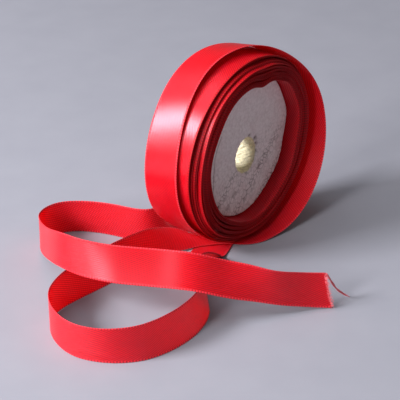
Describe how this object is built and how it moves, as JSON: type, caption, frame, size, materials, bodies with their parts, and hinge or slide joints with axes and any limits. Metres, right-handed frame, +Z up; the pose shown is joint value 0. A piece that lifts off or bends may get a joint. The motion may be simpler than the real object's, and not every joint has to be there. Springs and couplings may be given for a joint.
{
  "type": "ribbon spool",
  "caption": "Narrow satin ribbon wound on a foam disc with a spindle hole, standing on its rim, with its free end unrolled in two loops.",
  "frame": {"origin": "on the table, in the middle of the rectangle that the whole object covers", "axes": "+Z up; +Y along the spool's axis, away from its open face, which looks toward -Y; the unrolled end lies toward -X"},
  "size_m": [0.1256, 0.1026, 0.0688],
  "materials": {
    "foam": "expanded polystyrene bead foam, matt, with bead cells showing",
    "wound_ribbon": "edges of tightly wound satin ribbon, deep red",
    "ribbon": "single-face polyester satin, shiny outside, matt twill inside, woven selvedges",
    "thread": "loose frayed polyester thread"
  },
  "bodies": {
    "unrolled_end": {"outer_turn": "ribbon", "tail_from_roll": "ribbon", "tail_lower_back": "ribbon", "tail_lower_left": "ribbon", "tail_lower_front": "ribbon", "tail_lower_right": "ribbon", "tail_under_roll": "ribbon", "tail_upper_back": "ribbon", "tail_upper_left": "ribbon", "tail_front_band": "ribbon", "tail_cut_end": "ribbon", "loose_thread": "thread"},
    "outer_turns": {"turns_05": "wound_ribbon", "turns_06": "wound_ribbon", "turns_07": "wound_ribbon", "turns_08": "wound_ribbon"},
    "inner_turns": {"foam_core": "foam", "turns_01": "wound_ribbon", "turns_02": "wound_ribbon", "turns_03": "wound_ribbon", "turns_04": "wound_ribbon"}
  },
  "joints": [
    {"name": "spool_turn", "type": "hinge", "parent": "unrolled_end", "child": "outer_turns", "pos_m": [0.0294, 0.0045, 0.03368], "axis": [0, -1, 0], "continuous": true},
    {"name": "core_push", "type": "slide", "parent": "outer_turns", "child": "inner_turns", "axis": [0, 1, 0], "range_m": [-0.003, 0.003]}
  ]
}
